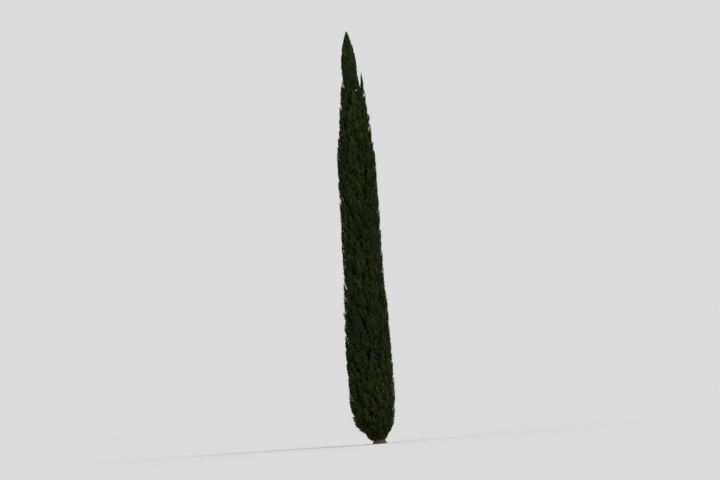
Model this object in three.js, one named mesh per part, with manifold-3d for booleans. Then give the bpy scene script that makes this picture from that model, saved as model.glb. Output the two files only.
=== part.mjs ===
// A pencil cypress: one straight trunk, and round it a slim column of steep, pointed plumes of foliage.
// Millimetres, +Z up. The origin is the middle of the flat cut under the trunk, at ground level.
import * as THREE from "three";
import { mergeVertices } from "three/addons/utils/BufferGeometryUtils.js";
import Module from "manifold-3d";

// The whole tree
const treeHeight = 14000;
const goldenAngle = Math.PI * (3 - Math.sqrt(5));

// Crown outline: share of the tree's height, half width, and how far the middle of the crown lies towards +X
const crownOutline = [
  [0.025, 460, -60],
  [0.05, 690, -110],
  [0.11, 820, -150],
  [0.3, 775, -100],
  [0.42, 690, -60],
  [0.7, 645, 0],
  [0.8, 500, 50],
  [0.88, 320, 30],
  [0.94, 215, 0],
  [1.0, 120, 0],
];

// Trunk
const trunkTip = treeHeight * 0.972;
const trunkRadiusLow = 150;
const trunkRadiusTip = 7;
const trunkTaper = 0.85;
const flareRadius = 85;
const flareHeight = 190;
const rootLobes = 5;
const rootLobeDepth = 0.13;
const trunkSides = 14;
const trunkRings = 17;
const trunkRingPower = 1.9; // rings stand closer together at the flare
const trunkClearance = 0.45;

// Plumes of foliage: where they start on the trunk
const plumeCount = 42;
const lowestPlume = 290;
const footPlumes = { count: 5, lowest: 255, step: 60 }; // a whorl that closes the crown's foot
const highestPlume = 11150;
const plumeSpacingPower = 1.36; // the low plumes start closer together
const startShift = 160;
const azimuthShift = 0.5;

// Plumes of foliage: their length, width and sweep, which change in the low crown and above highCrown
const lowCrown = 1900;
const highCrown = 6500;
const lowPlumeLength = 2500;
const midPlumeLength = 3700;
const topPlumeLength = 1750;
const lengthVariation = 0.08;
const plumeWidthShare = 0.42; // of the crown's reach beside the plume's middle
const plumeMiddleShare = 0.55;
const widthVariation = 0.1;
const plumeFullness = 0.8;
const plumeRise = 0.8; // the lower it is, the sooner a plume fills out
const lowPlumeRise = 0.5;
const plumeSpread = 2.2; // the higher it is, the sooner a plume turns up
const lowPlumeSpread = 10;
const plumeInset = 0.93; // of its radius, from the crown's outside to a plume's middle

// Stems and dense cores
const stemRadius = 30;
const stemTipShare = 0.5;
const stemSpace = 48;
const stemSpaceEnd = 0.3;
const spaceMargin = 0.1;
const coreShare = 0.64; // of the plume's radius
const coreGap = 16;
const coreTrunkGap = 20;
const coreStep = 6;
const coreSides = 6;
const coreStations = [0.004, 0.05, 0.14, 0.32, 0.55, 0.75, 0.87];
const coreTip = 0.93;

// The leader at the top and the lower spire beside it
const leader = { base: treeHeight * 0.81, width: 280, rise: 1.05 };
const sideSpire = { plume: 35, tip: 12560, width: 185, reach: 395 };

// Twigs that leave each plume's stem
const twigsTried = 84;
const twigsKept = 9;
const lowestTwig = 0.07;
const highestTwig = 0.86;
const lowestTwigFoot = 0.02;
const twigTurn = 0.5;
const mostInward = -0.3; // cosine of the widest turn from the plume's own direction
const leastReach = 0.2;
const twigRadius = 11;
const twigTipShare = 0.6;
const twigRise = 150;
const twigIntoSpray = 0.04;

// The spray at the end of each twig, smaller on a plume slimmer than fullPlume, and the one at a plume's tip
const sprayLength = 600;
const sprayWidth = 145;
const sprayThickness = 38;
const sprayVariation = 0.15;
const sprayShoulder = 0.45;
const sprayRoot = 0.5; // of the way from the stem to the core's outside
const sprayHighest = 0.97;
const sprayLeastOut = { ofCore: 0.8, further: 20 };
const fullPlume = 230;
const smallSpray = { length: 0.72, width: 0.75 };
const endSprayFrom = 0.84;
const endSprayTo = 0.999;
const endSprayScale = { width: 0.8, thickness: 1.4 };

// Corners are stored to this many parts of a millimetre
const storedParts = 1e4;

const wasm = await Module();
wasm.setup();

// A repeatable number from 0 to 1 for plume or spray k and purpose c.
function chance(k, c) {
  const v = Math.sin(k * 12.9898 + c * 78.233) * 43758.5453;
  return v - Math.floor(v);
}

function mix(a, b, t) {
  return a + (b - a) * t;
}

// A factor round 1 that varies by the given amount either way.
function vary(amount, k, c) {
  return mix(1 - amount, 1 + amount, chance(k, c));
}

// Reads column c of the outline at a share of the height.
function outlineValue(share, c) {
  const last = crownOutline.length - 1;
  if (share <= crownOutline[0][0]) return crownOutline[0][c];
  for (let i = 1; i <= last; i++) {
    const [low, high] = [crownOutline[i - 1], crownOutline[i]];
    if (share <= high[0]) return mix(low[c], high[c], (share - low[0]) / (high[0] - low[0]));
  }
  return crownOutline[last][c];
}

// Distance from the trunk's axis to the crown's outside, at height z in direction azimuth.
function crownReach(z, azimuth) {
  const share = z / treeHeight;
  return outlineValue(share, 1) + outlineValue(share, 2) * Math.cos(azimuth);
}

// The trunk tapers all the way up, and spreads into low lobes where the roots leave it.
function trunkRadius(z, angle = 0) {
  const left = Math.max(0, 1 - z / trunkTip);
  const plain = trunkRadiusTip + (trunkRadiusLow - trunkRadiusTip) * left ** trunkTaper;
  const flare = Math.exp(-z / flareHeight);
  return (plain + flareRadius * flare) * (1 + rootLobeDepth * flare * Math.cos(rootLobes * angle));
}

// A closed solid from a lowest point, through rings that go anticlockwise from above, to a highest point.
function loftSolid(lowest, rings, highest) {
  const sides = rings[0].length;
  const points = [...rings.flat(), lowest, highest];
  const faces = [];
  for (let r = 0; r + 1 < rings.length; r++) {
    for (let i = 0; i < sides; i++) {
      const j = (i + 1) % sides;
      const [a, b] = [r * sides + i, r * sides + j];
      faces.push(a, b, b + sides, a, b + sides, a + sides);
    }
  }
  const top = (rings.length - 1) * sides;
  const [foot, tip] = [rings.length * sides, rings.length * sides + 1];
  for (let i = 0; i < sides; i++) {
    const j = (i + 1) % sides;
    faces.push(foot, j, i);
    faces.push(tip, top + i, top + j);
  }
  return solidFrom(points, faces);
}

function solidFrom(points, faces) {
  const geometry = new THREE.BufferGeometry();
  geometry.setAttribute("position", new THREE.Float32BufferAttribute(points.flat(), 3));
  geometry.setIndex(faces);
  const merged = mergeVertices(geometry, 1e-3);
  return new wasm.Manifold(
    new wasm.Mesh({
      numProp: 3,
      vertProperties: merged.attributes.position.array,
      triVerts: new Uint32Array(merged.index.array),
    }),
  );
}

// Fills what fusing has sealed and drops loose scraps.
function largestBody(solid) {
  const mesh = solid.getMesh();
  const corner = (_, i) => [...mesh.vertProperties.subarray(3 * i, 3 * i + 3)];
  const points = Array.from({ length: mesh.numVert }, corner);
  const bodies = solidFrom(points, [...mesh.triVerts]).decompose();
  return bodies.reduce((most, body) => (body.volume() > most.volume() ? body : most));
}

// Whether a solid is still closed with its corners rounded as they are stored: each edge then has two faces.
function staysClosed(solid) {
  const { numVert, vertProperties, triVerts } = solid.getMesh();
  const numbers = new Map();
  const stored = Array.from({ length: numVert }, (_, i) => {
    const key = vertProperties.subarray(3 * i, 3 * i + 3).map((v) => Math.round(v * storedParts)).join();
    if (!numbers.has(key)) numbers.set(key, numbers.size);
    return numbers.get(key);
  });
  const facesAt = new Map();
  for (let t = 0; t < triVerts.length; t += 3) {
    const [a, b, c] = [0, 1, 2].map((i) => stored[triVerts[t + i]]);
    if (a === b || b === c || c === a) continue;
    for (const [from, to] of [[a, b], [b, c], [c, a]]) {
      const edge = Math.min(from, to) * numVert + Math.max(from, to);
      facesAt.set(edge, (facesAt.get(edge) ?? 0) + 1);
    }
  }
  return [...facesAt.values()].every((faces) => faces === 2);
}

function geometryFrom(solid) {
  const mesh = solid.getMesh();
  const geometry = new THREE.BufferGeometry();
  geometry.setAttribute("position", new THREE.BufferAttribute(mesh.vertProperties, 3));
  geometry.setIndex(new THREE.BufferAttribute(mesh.triVerts, 1));
  return geometry.toNonIndexed();
}

// The trunk, or with a clearance the space that everything beside it stays out of.
function trunkSolid(clearance) {
  const rings = [];
  for (let r = 0; r < trunkRings; r++) {
    const z = trunkTip * (r / (trunkRings - 1)) ** trunkRingPower;
    const ring = [];
    for (let i = 0; i < trunkSides; i++) {
      const angle = (2 * Math.PI * i) / trunkSides;
      const radius = trunkRadius(z, angle) + clearance;
      ring.push([radius * Math.cos(angle), radius * Math.sin(angle), z]);
    }
    rings.push(ring);
  }
  if (clearance > 0) {
    rings[0].forEach((p) => (p[2] -= clearance));
    rings[rings.length - 1].forEach((p) => (p[2] += clearance));
  }
  return loftSolid([0, 0, rings[0][0][2]], rings, [0, 0, rings[rings.length - 1][0][2]]);
}

// Where each plume starts on the trunk, how long and how wide it is, and which way it goes.
function plumeList() {
  const plumes = [];
  for (let k = 0; k < plumeCount; k++) {
    const along = (k + 0.5) / plumeCount;
    const shift = startShift * (chance(k, 1) - 0.5);
    const usualBase = mix(lowestPlume, highestPlume, along ** plumeSpacingPower) + shift;
    const base = k < footPlumes.count ? footPlumes.lowest + k * footPlumes.step : usualBase;
    const low = Math.max(0, 1 - base / lowCrown);
    const high = Math.max(0, (base - highCrown) / (highestPlume - highCrown));
    const usual = mix(mix(midPlumeLength, lowPlumeLength, low), topPlumeLength, high);
    const length = usual * vary(lengthVariation, k, 2);
    const azimuth = k * goldenAngle + azimuthShift * (chance(k, 3) - 0.5);
    const middle = crownReach(base + plumeMiddleShare * length, azimuth);
    const width = plumeWidthShare * middle * vary(widthVariation, k, 4);
    const name = "plume_" + String(k + 1).padStart(2, "0");
    const plume = { name, base, length, azimuth, width, seed: k };
    plume.spread = mix(plumeSpread, lowPlumeSpread, low);
    plume.rise = mix(plumeRise, lowPlumeRise, low);
    if (k + 1 === sideSpire.plume) {
      plume.name = "side_spire";
      plume.length = sideSpire.tip - base;
      plume.width = sideSpire.width;
      plume.reach = sideSpire.reach;
    }
    plumes.push(plume);
  }
  plumes.push({
    name: "leader",
    base: leader.base,
    length: treeHeight - leader.base,
    azimuth: 0,
    width: leader.width,
    reach: 0,
    spread: 1,
    rise: leader.rise,
    seed: plumeCount,
  });
  return plumes;
}

const plumes = plumeList();

// A plume's own radius at share s of its length: slim at its stem, full in the middle, pointed at its tip.
function plumeRadius(plume, s) {
  if (s <= 0 || s >= 1) return 0;
  const full = plume.width * Math.sin(Math.PI * s ** plume.rise) ** plumeFullness;
  return s < stemSpaceEnd ? Math.max(stemSpace, full) : full;
}

// A plume's middle at share s of its length: it leaves the trunk, then turns up inside the crown's outline.
function plumeMiddle(plume, s) {
  const z = plume.base + s * plume.length;
  if (plume.name === "leader") return [0, 0, z];
  const start = trunkRadius(plume.base);
  const outside = plume.reach ?? crownReach(z, plume.azimuth) - plumeInset * plumeRadius(plume, s);
  const out = mix(start, Math.max(start, outside), 1 - (1 - s) ** plume.spread);
  return [out * Math.cos(plume.azimuth), out * Math.sin(plume.azimuth), z];
}

// How far a point lies from a plume's middle, as a share of the plume's radius at that height.
function shareOfPlume(plume, [x, y, z]) {
  const s = (z - plume.base) / plume.length;
  const radius = plumeRadius(plume, s);
  if (radius <= 0) return Infinity;
  const [cx, cy] = plumeMiddle(plume, s);
  return Math.hypot(x - cx, y - cy) / radius;
}

// A plume's own space is where it is nearer, by that measure, than any other plume, and clear of the trunk.
function inOwnSpace(plume, point, trunkGap) {
  if (plume.name !== "leader" || point[2] < leader.base) {
    const fromTrunk = Math.hypot(point[0], point[1]) - trunkRadius(point[2]);
    if (point[2] < trunkTip + trunkGap && fromTrunk < trunkGap) return false;
  }
  const own = shareOfPlume(plume, point) + spaceMargin;
  return plumes.every((other) => other === plume || shareOfPlume(other, point) > own);
}

// How far the plume's core reaches from its middle, in direction angle, at share s.
function coreReach(plume, s, angle) {
  const [cx, cy, z] = plumeMiddle(plume, s);
  const most = coreShare * plumeRadius(plume, s);
  let reach = 0;
  while (reach + coreStep < most) {
    const d = reach + coreStep + coreGap;
    const point = [cx + d * Math.cos(angle), cy + d * Math.sin(angle), z];
    if (!inOwnSpace(plume, point, coreTrunkGap)) break;
    reach += coreStep;
  }
  return reach;
}

// The stem and the dense core of a plume, as one loft.
function coreSolid(plume) {
  const rings = coreStations.map((share, level) => {
    const [cx, cy, z] = plumeMiddle(plume, share);
    const stem = mix(stemRadius, stemTipShare * stemRadius, share);
    return Array.from({ length: coreSides }, (_, i) => {
      const angle = plume.azimuth + (2 * Math.PI * (i + 0.5 * (level % 2))) / coreSides;
      const reach = Math.max(level < 2 ? 0 : coreReach(plume, share, angle), stem);
      return [cx + reach * Math.cos(angle), cy + reach * Math.sin(angle), z];
    });
  });
  return loftSolid(plumeMiddle(plume, coreStations[0]), rings, plumeMiddle(plume, coreTip));
}

// One spray: a flat, pointed blade of eight faces, from root to tip, with its width along the side direction.
function spraySolid(root, tip, side, width, thickness) {
  const along = tip.clone().sub(root);
  const across = side.clone().normalize();
  const out = new THREE.Vector3().crossVectors(across, along).normalize();
  const shoulder = root.clone().addScaledVector(along, sprayShoulder);
  const corners = [
    root,
    shoulder.clone().addScaledVector(across, width / 2),
    shoulder.clone().addScaledVector(out, thickness / 2),
    shoulder.clone().addScaledVector(across, -width / 2),
    shoulder.clone().addScaledVector(out, -thickness / 2),
    tip,
  ];
  const faces = [];
  for (let i = 0; i < 4; i++) {
    const j = (i + 1) % 4;
    faces.push(0, 1 + i, 1 + j);
    faces.push(5, 1 + j, 1 + i);
  }
  const solid = solidFrom(corners.map((c) => c.toArray()), faces);
  return { solid, corners };
}

// A three-sided twig that thins from the stem to the root of its spray.
function twigSolid(from, to) {
  const along = to.clone().sub(from).normalize();
  const across = new THREE.Vector3(along.y, -along.x, 0).normalize();
  const out = new THREE.Vector3().crossVectors(across, along);
  const ring = (middle, radius) =>
    [0, 1, 2].map((i) => {
      const angle = (-2 * Math.PI * i) / 3;
      const point = middle.clone().addScaledVector(across, radius * Math.cos(angle));
      return point.addScaledVector(out, radius * Math.sin(angle)).toArray();
    });
  const rings = [ring(from, twigRadius), ring(to, twigTipShare * twigRadius)];
  return loftSolid(from.toArray(), rings, to.toArray());
}

// Twigs leave the stem one golden angle apart and rise to a spray each. One whose spray would leave the
// plume's space is skipped, and of the others an even choice is kept.
function twigsOf(plume) {
  const grown = [];
  const scale = Math.min(1, plume.width / fullPlume);
  const length = sprayLength * mix(smallSpray.length, 1, scale);
  const width = sprayWidth * mix(smallSpray.width, 1, scale);
  for (let i = 0; i < twigsTried; i++) {
    const n = plume.seed * twigsTried + i;
    const s = mix(lowestTwig, highestTwig, (i + 0.5) / twigsTried);
    const angle = plume.azimuth + i * goldenAngle + twigTurn * (chance(n, 5) - 0.5);
    if (plume.name !== "leader" && Math.cos(angle - plume.azimuth) < mostInward) continue;
    const reach = coreReach(plume, s, angle);
    if (reach < leastReach * plumeRadius(plume, s)) continue;
    const at = (share, radius) => {
      const [x, y, z] = plumeMiddle(plume, share);
      return new THREE.Vector3(x + radius * Math.cos(angle), y + radius * Math.sin(angle), z);
    };
    const root = at(s, Math.max(sprayRoot * reach, plume.name === "leader" ? trunkRadius(plume.base) : 0));
    const tipShare = Math.min(sprayHighest, s + (length * vary(sprayVariation, n, 6)) / plume.length);
    const leastOut = sprayLeastOut.ofCore * reach + sprayLeastOut.further;
    const tip = at(tipShare, Math.max(plumeRadius(plume, tipShare), leastOut));
    const side = new THREE.Vector3(-Math.sin(angle), Math.cos(angle), 0);
    const { solid, corners } = spraySolid(root, tip, side, width, sprayThickness);
    const edges = corners.slice(1, 5).map((c) => c.clone().lerp(tip, 0.5));
    const free = [...corners.slice(1), ...edges].every((c) => inOwnSpace(plume, c.toArray(), coreTrunkGap));
    if (!free) continue;
    const stem = at(Math.max(lowestTwigFoot, s - twigRise / plume.length), 0);
    const twig = plume.name === "leader" ? [] : [twigSolid(stem, root.clone().lerp(tip, twigIntoSpray))];
    grown.push([...twig, solid]);
  }
  const kept = Math.min(twigsKept, grown.length);
  return Array.from({ length: kept }, (_, i) => grown[Math.floor(((i + 0.5) * grown.length) / kept)]);
}

// The last spray of a plume, which ends in the plume's tip.
function endSpray(plume) {
  const root = new THREE.Vector3(...plumeMiddle(plume, endSprayFrom));
  const tip = new THREE.Vector3(...plumeMiddle(plume, endSprayTo));
  const side = new THREE.Vector3(-Math.sin(plume.azimuth), Math.cos(plume.azimuth), 0);
  const [width, thickness] = [endSprayScale.width * sprayWidth, endSprayScale.thickness * sprayThickness];
  return spraySolid(root, tip, side, width, thickness).solid;
}

// A plume in one piece, clear of the trunk. A twig that can't be fused cleanly is left out.
function plumeSolid(plume, keepClear) {
  const start = coreSolid(plume).add(endSpray(plume)).subtract(keepClear);
  const fused = twigsOf(plume).reduce((sum, pieces) => {
    const more = pieces.reduce((all, piece) => all.add(piece.subtract(keepClear)), sum);
    return staysClosed(more) ? more : sum;
  }, start);
  return largestBody(fused);
}

const foliage = new THREE.MeshStandardMaterial({ color: 0x1d2a14, roughness: 0.9, metalness: 0 });
const bark = new THREE.MeshStandardMaterial({ color: 0x5a4a3c, roughness: 0.95, metalness: 0 });
foliage.name = "foliage";
bark.name = "bark";

const tree = new THREE.Group();

function addNode(name, solid, material) {
  const mesh = new THREE.Mesh(geometryFrom(solid), material);
  mesh.name = name;
  tree.add(mesh);
}

addNode("trunk", trunkSolid(0), bark);

const keepClear = trunkSolid(trunkClearance);
for (const plume of plumes) addNode(plume.name, plumeSolid(plume, keepClear), foliage);

export default tree;
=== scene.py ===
import math

import bpy
import numpy as np
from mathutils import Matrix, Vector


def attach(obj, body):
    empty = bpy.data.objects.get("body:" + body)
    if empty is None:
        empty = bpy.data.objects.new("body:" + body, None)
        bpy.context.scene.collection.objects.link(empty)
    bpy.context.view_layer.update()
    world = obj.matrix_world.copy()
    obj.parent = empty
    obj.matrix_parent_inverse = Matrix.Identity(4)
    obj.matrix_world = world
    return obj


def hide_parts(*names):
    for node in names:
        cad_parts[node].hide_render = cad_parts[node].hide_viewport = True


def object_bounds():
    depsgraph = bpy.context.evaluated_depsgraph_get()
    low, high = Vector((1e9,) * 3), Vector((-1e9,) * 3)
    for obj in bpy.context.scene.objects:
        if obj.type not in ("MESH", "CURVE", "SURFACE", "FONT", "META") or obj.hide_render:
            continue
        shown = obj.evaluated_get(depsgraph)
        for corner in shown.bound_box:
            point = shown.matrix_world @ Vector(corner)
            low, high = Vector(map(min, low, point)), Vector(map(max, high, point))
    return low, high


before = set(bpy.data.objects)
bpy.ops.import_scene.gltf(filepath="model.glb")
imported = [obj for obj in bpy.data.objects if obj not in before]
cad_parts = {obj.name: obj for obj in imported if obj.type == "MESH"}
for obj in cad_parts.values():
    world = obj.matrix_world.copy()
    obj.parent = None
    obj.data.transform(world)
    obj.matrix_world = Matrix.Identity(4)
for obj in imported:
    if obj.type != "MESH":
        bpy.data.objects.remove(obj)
cadLow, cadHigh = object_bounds()
print("frame loaded,", len(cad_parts), "nodes")

goldenAngle = math.pi * (3 - math.sqrt(5))
tiny = 1e-9  # keeps what is divided by above zero

# The crown's outline: share of the height, half width, and how far its middle lies towards +X
crown = {
    "height": 14.0,
    "share": [0.025, 0.05, 0.11, 0.3, 0.42, 0.7, 0.8, 0.88, 0.94, 1.0],
    "halfWidth": [0.46, 0.69, 0.82, 0.775, 0.69, 0.645, 0.5, 0.32, 0.215, 0.12],
    "middle": [-0.06, -0.11, -0.15, -0.1, -0.06, 0.0, 0.05, 0.03, 0.0, 0.0],
}

trunk = {
    "tip": 0.972 * crown["height"],
    "radiusLow": 0.15,
    "radiusTip": 0.007,
    "taper": 0.85,
    "flareRadius": 0.085,
    "flareHeight": 0.19,
    "lobes": 5,
    "lobeDepth": 0.13,
}

# Where the plumes start, how they grow and how wide they get, as in the CAD model
plume = {
    "count": 42,
    "lowest": 0.29,
    "highest": 11.15,
    "spacingPower": 1.36,
    "startShift": 0.16,
    "whorl": {"count": 5, "lowest": 0.255, "step": 0.06},
    "azimuthShift": 0.5,
    "lowCrown": 1.9,
    "highCrown": 6.5,
    "lowLength": 2.5,
    "midLength": 3.7,
    "topLength": 1.75,
    "lengthVariation": 0.08,
    "widthShare": 0.42,
    "middleShare": 0.55,
    "widthVariation": 0.1,
    "fullness": 0.8,
    "rise": 0.8,
    "lowRise": 0.5,
    "spread": 2.2,
    "lowSpread": 10,
    "inset": 0.93,
    "stemSpace": 0.048,
    "stemSpaceEnd": 0.3,
    "trunkGap": 0.02,
    "room": 1.4,
}
leader = {"base": 0.81 * crown["height"], "width": 0.28, "rise": 1.05}
sideSpire = {"plume": 35, "tip": 12.56, "width": 0.185, "reach": 0.395}

# Where leaves end: just outside the crown's outline, within a farthest reach, rounded in under the crown,
# uneven by a share of the way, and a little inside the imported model's box
leafLimit = {
    "outside": 0.02,
    "farthest": 0.91,
    "roundHeight": 0.42,
    "leastRounding": 0.05,
    "uneven": 0.09,
    "spireUneven": 0.25,
    "boxEdge": 0.002,
}

# How a plume's space is measured: in even steps, and the share of the leader's room that is always its own
spaceSearch = {"steps": 20, "leaderCore": 0.33}

# The series of chance that each choice draws from
series = {
    "plumeBase": 1, "plumeLength": 2, "plumeAzimuth": 3, "plumeWidth": 4, "twigAzimuth": 5, "twigSize": 6,
    "sprayTurn": 7, "sprayLength": 8, "fingerTurn": 9, "fingerSplay": 10, "fingerLength": 11,
    "fingerRadius": 12, "tone": 13, "plumeTone": 14, "olive": 15, "shaded": 16, "withered": 17, "dead": 18,
    "thinned": 19, "fingerRoll": 20, "twigTone": 21, "crownEdge": 22, "spireEdge": 23,
}
bigSine = {"perNumber": 12.9898, "perSeries": 78.233, "size": 43758.5453}

# How far apart the twigs' numbers start from plume to plume, the sprays' from twig to twig, and the fingers'
# from spray to spray. The sprays at the boughs' tips have numbers of their own.
numbering = {"twigs": 1000, "sprays": 10, "fingers": 32, "tipSprays": 100, "firstTipSpray": 500000}


# A repeatable number from 0 to 1 for number k and a choice: the fraction of a large sine.
def chance(k, choice):
    angle = np.asarray(k) * bigSine["perNumber"] + series[choice] * bigSine["perSeries"]
    v = np.sin(angle) * bigSine["size"]
    return v - np.floor(v)


def mix(a, b, t):
    return a + (b - a) * t


# A factor round 1 that varies by the given amount either way.
def vary(amount, k, choice):
    return mix(1 - amount, 1 + amount, chance(k, choice))


# From the axis to the crown's outside: the half width, and the middle's offset times the azimuth's cosine.
def crownReach(z, azimuth):
    share = z / crown["height"]
    half = np.interp(share, crown["share"], crown["halfWidth"])
    return half + np.interp(share, crown["share"], crown["middle"]) * np.cos(azimuth)


# The trunk's radius: a power of the height left, and a flare that dies away upwards, in round lobes.
def trunkRadius(z, angle=0.0):
    left = np.maximum(0, 1 - z / trunk["tip"])
    plain = trunk["radiusTip"] + (trunk["radiusLow"] - trunk["radiusTip"]) * left ** trunk["taper"]
    flare = np.exp(-z / trunk["flareHeight"])
    lobes = 1 + trunk["lobeDepth"] * flare * np.cos(trunk["lobes"] * angle)
    return (plain + trunk["flareRadius"] * flare) * lobes


# One row for each plume, with the leader last: the source's rule, a golden angle apart up the trunk.
def plumeTable():
    k = np.arange(plume["count"])
    along = ((k + 0.5) / plume["count"]) ** plume["spacingPower"]
    shift = plume["startShift"] * (chance(k, "plumeBase") - 0.5)
    usualBase = mix(plume["lowest"], plume["highest"], along) + shift
    whorl = plume["whorl"]
    base = np.where(k < whorl["count"], whorl["lowest"] + k * whorl["step"], usualBase)
    low = np.maximum(0, 1 - base / plume["lowCrown"])
    high = np.maximum(0, (base - plume["highCrown"]) / (plume["highest"] - plume["highCrown"]))
    usual = mix(mix(plume["midLength"], plume["lowLength"], low), plume["topLength"], high)
    length = usual * vary(plume["lengthVariation"], k, "plumeLength")
    azimuth = k * goldenAngle + plume["azimuthShift"] * (chance(k, "plumeAzimuth") - 0.5)
    middle = crownReach(base + plume["middleShare"] * length, azimuth)
    width = plume["widthShare"] * middle * vary(plume["widthVariation"], k, "plumeWidth")
    reach = np.full(len(k), np.nan)
    side = sideSpire["plume"] - 1
    length[side] = sideSpire["tip"] - base[side]
    width[side] = sideSpire["width"]
    reach[side] = sideSpire["reach"]
    names = ["plume_%02d" % (n + 1) for n in k] + ["leader"]
    names[side] = "side_spire"
    table = {
        "base": np.append(base, leader["base"]),
        "length": np.append(length, crown["height"] - leader["base"]),
        "azimuth": np.append(azimuth, 0),
        "width": np.append(width, leader["width"]),
        "reach": np.append(reach, 0),
        "rise": np.append(mix(plume["rise"], plume["lowRise"], low), leader["rise"]),
        "spread": np.append(mix(plume["spread"], plume["lowSpread"], low), 1),
    }
    return names, table


plumeNames, plumes = plumeTable()
plumeTotal = len(plumeNames)
leaderRow = plumeTotal - 1
spires = (sideSpire["plume"] - 1, leaderRow)


# A plume's radius at share s of its length: a power of a sine of s, and at least the stem's room low down.
def plumeRadius(i, s):
    t = np.clip(s, tiny, 1 - tiny)
    full = plumes["width"][i] * np.sin(np.pi * t ** plumes["rise"][i]) ** plume["fullness"]
    full = np.where(t < plume["stemSpaceEnd"], np.maximum(plume["stemSpace"], full), full)
    return np.where((s > 0) & (s < 1), full, 0)


# A plume's middle at share s: out from the trunk, then up along the inside of the crown's outline.
def plumeMiddle(i, s):
    s = np.asarray(s, float)
    azimuth = plumes["azimuth"][i]
    z = plumes["base"][i] + s * plumes["length"][i]
    start = trunkRadius(plumes["base"][i])
    outline = crownReach(z, azimuth) - plume["inset"] * plumeRadius(i, s)
    outside = np.where(np.isnan(plumes["reach"][i]), outline, plumes["reach"][i])
    turned = 1 - np.maximum(0, 1 - s) ** plumes["spread"][i]
    out = mix(start, np.maximum(start, outside), turned)
    out = np.where(i == leaderRow, 0, out)
    return np.stack([out * np.cos(azimuth), out * np.sin(azimuth), z + 0 * out], axis=-1)


# The point at radius r and angle from a plume's middle, at share s.
def plumePoint(i, s, r, angle):
    point = plumeMiddle(i, s)
    point[..., 0] += r * np.cos(angle)
    point[..., 1] += r * np.sin(angle)
    return point


# At which share of a plume's length points lie: their height over its base, as a share of its length.
def lengthShare(i, points):
    return (points[..., 2] - plumes["base"][i]) / plumes["length"][i]


# The distance from points to a plume's middle at their height, as a share of its radius there.
def shareOf(i, points):
    s = lengthShare(i, points)
    radius = plumeRadius(i, s)
    middle = plumeMiddle(i, np.clip(s, 0, 1))
    distance = np.hypot(points[..., 0] - middle[..., 0], points[..., 1] - middle[..., 1])
    return np.where(radius > 0, distance / np.maximum(radius, tiny), np.inf)


# A plume's own space: nearer, by that share, than any other plume, and clear of the trunk.
def inOwnSpace(i, points):
    own = shareOf(i, points)
    others = np.full(own.shape, np.inf)
    for j in range(plumeTotal):
        others = np.minimum(others, np.where(i == j, np.inf, shareOf(j, points)))
    fromTrunk = np.hypot(points[..., 0], points[..., 1]) - trunkRadius(points[..., 2])
    clear = (fromTrunk > plume["trunkGap"]) | (points[..., 2] > trunk["tip"] + plume["trunkGap"])
    return (own < others) & clear


# How far from a plume's middle its leaves may stand at share s: its radius, and some more in the crown's
# body, where it closes the gaps between plumes.
def plumeRoom(i, s):
    return plumeRadius(i, s) * (1 if i in spires else plume["room"])


# From the axis to where leaves end at a point's height and azimuth: the crown's outline and a little more,
# and under the crown the square root of the height's share of the rounding.
def leafReach(points):
    azimuth = np.arctan2(points[..., 1], points[..., 0])
    outline = crownReach(points[..., 2], azimuth) + leafLimit["outside"]
    share = points[..., 2] / leafLimit["roundHeight"]
    rounded = np.sqrt(np.clip(share, leafLimit["leastRounding"], 1))
    return rounded * np.minimum(outline, leafLimit["farthest"])


# How far a plume's space reaches from its middle in a direction, in even steps up to the most allowed.
def reachOf(i, s, angle, most):
    steps = spaceSearch["steps"]
    core = spaceSearch["leaderCore"] * steps if i == leaderRow else 0
    reach = np.zeros(len(s))
    going = np.ones(len(s), bool)
    for n in range(1, steps + 1):
        points = plumePoint(i, s, most * n / steps, angle)
        inCrown = np.hypot(points[..., 0], points[..., 1]) < leafReach(points)
        going &= (inOwnSpace(i, points) & (inCrown | (i in spires))) | (n < core)
        reach = np.where(going, most * n / steps, reach)
    return reach


print("growth rule ready,", plumeTotal, "plumes")


# Puts arrays of vertices and equal-sided faces into a mesh object, with a material number for each face.
def meshObject(name, vertices, faces, materials, slots=None, smooth=True):
    mesh = bpy.data.meshes.new(name)
    corners = faces.shape[1]
    mesh.vertices.add(len(vertices))
    mesh.vertices.foreach_set("co", np.ascontiguousarray(vertices, np.float32).ravel())
    mesh.loops.add(faces.size)
    mesh.loops.foreach_set("vertex_index", np.ascontiguousarray(faces, np.int32).ravel())
    mesh.polygons.add(len(faces))
    mesh.polygons.foreach_set("loop_start", np.arange(0, faces.size, corners, dtype=np.int32))
    for material in materials:
        mesh.materials.append(material)
    if slots is not None:
        mesh.polygons.foreach_set("material_index", np.ascontiguousarray(slots, np.int32))
    mesh.polygons.foreach_set("use_smooth", np.full(len(faces), smooth))
    mesh.update(calc_edges=True)
    mesh.validate()
    made = bpy.data.objects.new(name, mesh)
    bpy.context.scene.collection.objects.link(made)
    return made


def unit(v):
    return v / np.maximum(np.linalg.norm(v, axis=-1, keepdims=True), tiny)


# Even angles round a full turn.
def roundAngles(sides):
    return 2 * np.pi * np.arange(sides) / sides


# Directions that the parts don't run along, to cross with the ways that they do run
slants = {
    "tube": [0.31, 0.17, 0.05],
    "spray": [0.2, 0.1, 1.0],
    "bow": [0.13, 0.29, 0.11],
    "leaf": [0.21, 0.34, 0.09],
}


# Two directions square to each way and to each other: its cross product with a slant, and with that again.
def squareTo(ways, slant):
    across = unit(np.cross(ways, slants[slant]))
    return across, np.cross(ways, across)


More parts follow.
